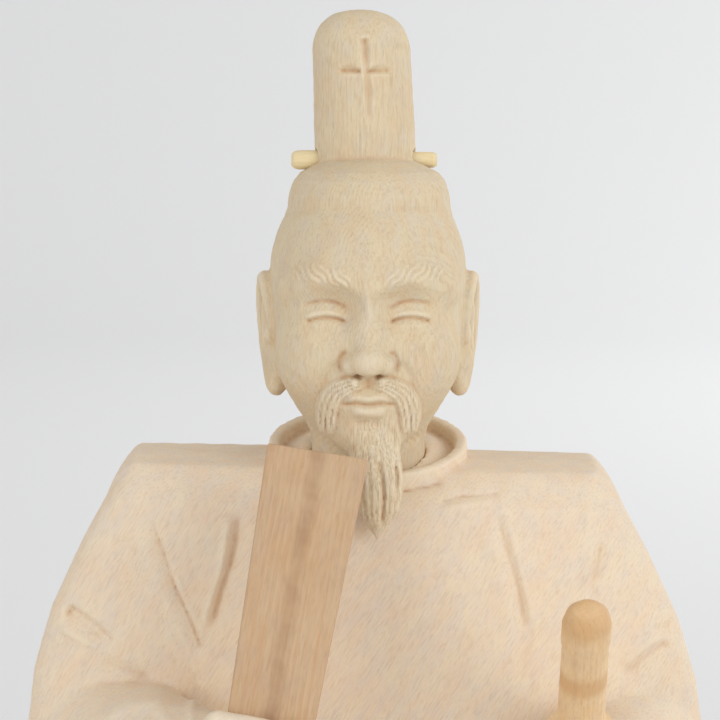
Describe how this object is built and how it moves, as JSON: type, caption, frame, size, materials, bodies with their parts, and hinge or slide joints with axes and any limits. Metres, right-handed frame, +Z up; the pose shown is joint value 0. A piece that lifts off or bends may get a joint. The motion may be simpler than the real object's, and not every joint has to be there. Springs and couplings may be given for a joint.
{
  "type": "carved seated court figure",
  "caption": "Seated court figure carved in pale wood, with a tall court hat, beard, wide-sleeved robe, flat baton and sword, on a low board.",
  "frame": {"origin": "middle of the underside of the low board that the figure sits on", "axes": "+Z up, -Y the way the figure faces, +X to the figure's own left"},
  "size_m": [0.176, 0.132, 0.1935],
  "materials": {
    "robe_wood": "bare carved wood, matte",
    "head_wood": "bare carved wood, matte",
    "pin_wood": "bare split wood",
    "baton_wood": "bare planed wood, straight grain",
    "sword_wood": "bare carved wood, slight sheen",
    "board_wood": "planed wood, satin"
  },
  "bodies": {
    "root": {"plinth": "board_wood", "body": "robe_wood", "head": "head_wood", "hat_pin": "pin_wood", "shaku": "baton_wood", "sword_hilt": "sword_wood", "sword_scabbard": "sword_wood"}
  },
  "joints": []
}
